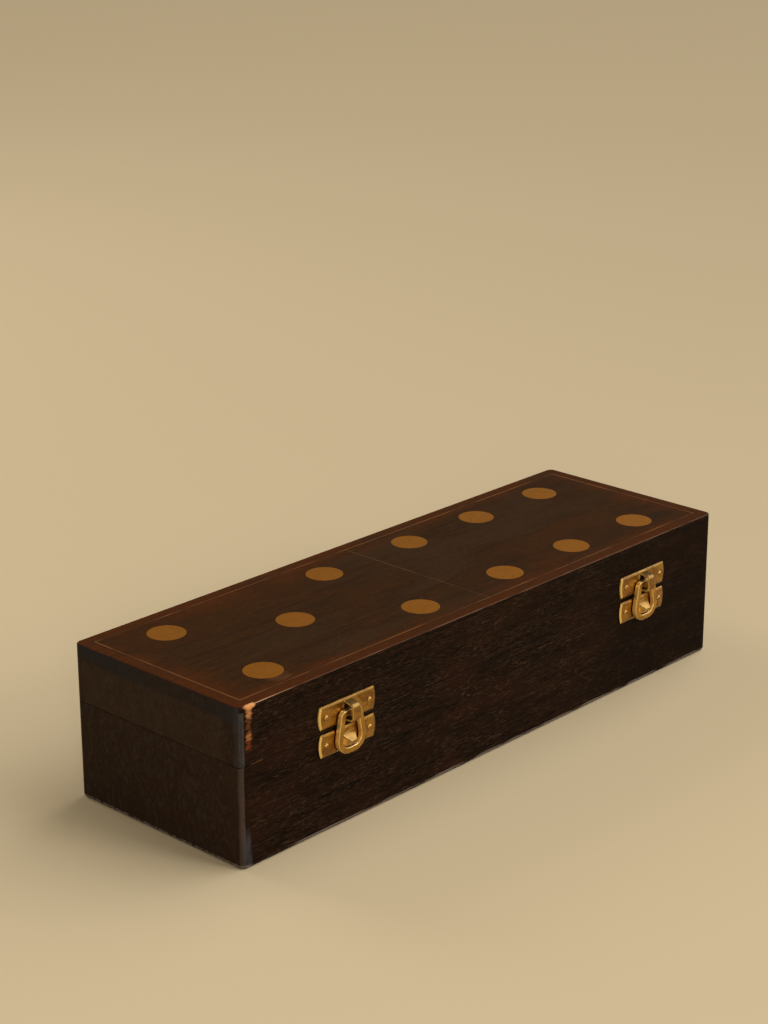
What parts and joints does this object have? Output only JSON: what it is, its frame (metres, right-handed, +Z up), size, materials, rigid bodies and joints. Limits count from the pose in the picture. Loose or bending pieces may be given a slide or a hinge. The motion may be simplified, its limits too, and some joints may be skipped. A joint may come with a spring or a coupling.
{
  "type": "domino storage box",
  "caption": "Long dark wooden box with a hinged lid inlaid in brass as a large domino, closed at the front by bail catches.",
  "frame": {"origin": "middle of the underside of the tray, on the surface it stands on", "axes": "+X along the box to the right as seen from the front, -Y out of the front with the catches, +Z up"},
  "size_m": [0.3, 0.1037, 0.068],
  "materials": {
    "stained_wood": "near-black stained open-pored hardwood, satin wax, worn arrises",
    "top_wood": "dark red-brown stained hardwood, satin wax",
    "inlay_brass": "satin, rubbed flush with the wood",
    "catch_brass": "polished, lacquered",
    "hinge_brass": "drawn, satin",
    "pin_steel": "drawn wire"
  },
  "bodies": {
    "tray": {"bottom_panel": "stained_wood", "left_hinge_pin": "pin_steel", "left_hinge_tray_leaf": "hinge_brass", "left_hinge_tray_screws": "hinge_brass", "left_keeper_nails": "catch_brass", "left_keeper_plate": "catch_brass", "right_hinge_pin": "pin_steel", "right_hinge_tray_leaf": "hinge_brass", "right_hinge_tray_screws": "hinge_brass", "right_keeper_nails": "catch_brass", "right_keeper_plate": "catch_brass", "tray_back_board": "stained_wood", "tray_front_board": "stained_wood", "tray_left_board": "stained_wood", "tray_right_board": "stained_wood"},
    "lid": {"back_border_string": "inlay_brass", "centre_string": "inlay_brass", "five_side_pip_1": "inlay_brass", "five_side_pip_2": "inlay_brass", "five_side_pip_3": "inlay_brass", "five_side_pip_4": "inlay_brass", "five_side_pip_5": "inlay_brass", "front_border_string": "inlay_brass", "left_border_string": "inlay_brass", "left_catch_nails": "catch_brass", "left_catch_plate": "catch_brass", "left_hinge_lid_leaf": "hinge_brass", "left_hinge_lid_screws": "hinge_brass", "lid_back_board": "stained_wood", "lid_front_board": "stained_wood", "lid_left_board": "stained_wood", "lid_right_board": "stained_wood", "lid_top_panel": "top_wood", "right_border_string": "inlay_brass", "right_catch_nails": "catch_brass", "right_catch_plate": "catch_brass", "right_hinge_lid_leaf": "hinge_brass", "right_hinge_lid_screws": "hinge_brass", "six_side_pip_1": "inlay_brass", "six_side_pip_2": "inlay_brass", "six_side_pip_3": "inlay_brass", "six_side_pip_4": "inlay_brass", "six_side_pip_5": "inlay_brass", "six_side_pip_6": "inlay_brass"},
    "left_bail": {"left_bail": "catch_brass"},
    "right_bail": {"right_bail": "catch_brass"}
  },
  "joints": [
    {"name": "lid_hinge", "type": "hinge", "parent": "tray", "child": "lid", "pos_m": [0, 0.0475, 0.043], "axis": [-1, 0, 0], "range_deg": [0, 100]},
    {"name": "left_bail_pivot", "type": "hinge", "parent": "lid", "child": "left_bail", "pos_m": [-0.0928, -0.05045, 0.0493], "axis": [-1, 0, 0], "range_deg": [0, 165]},
    {"name": "right_bail_pivot", "type": "hinge", "parent": "lid", "child": "right_bail", "pos_m": [0.0976, -0.05045, 0.0493], "axis": [-1, 0, 0], "range_deg": [0, 165]}
  ]
}
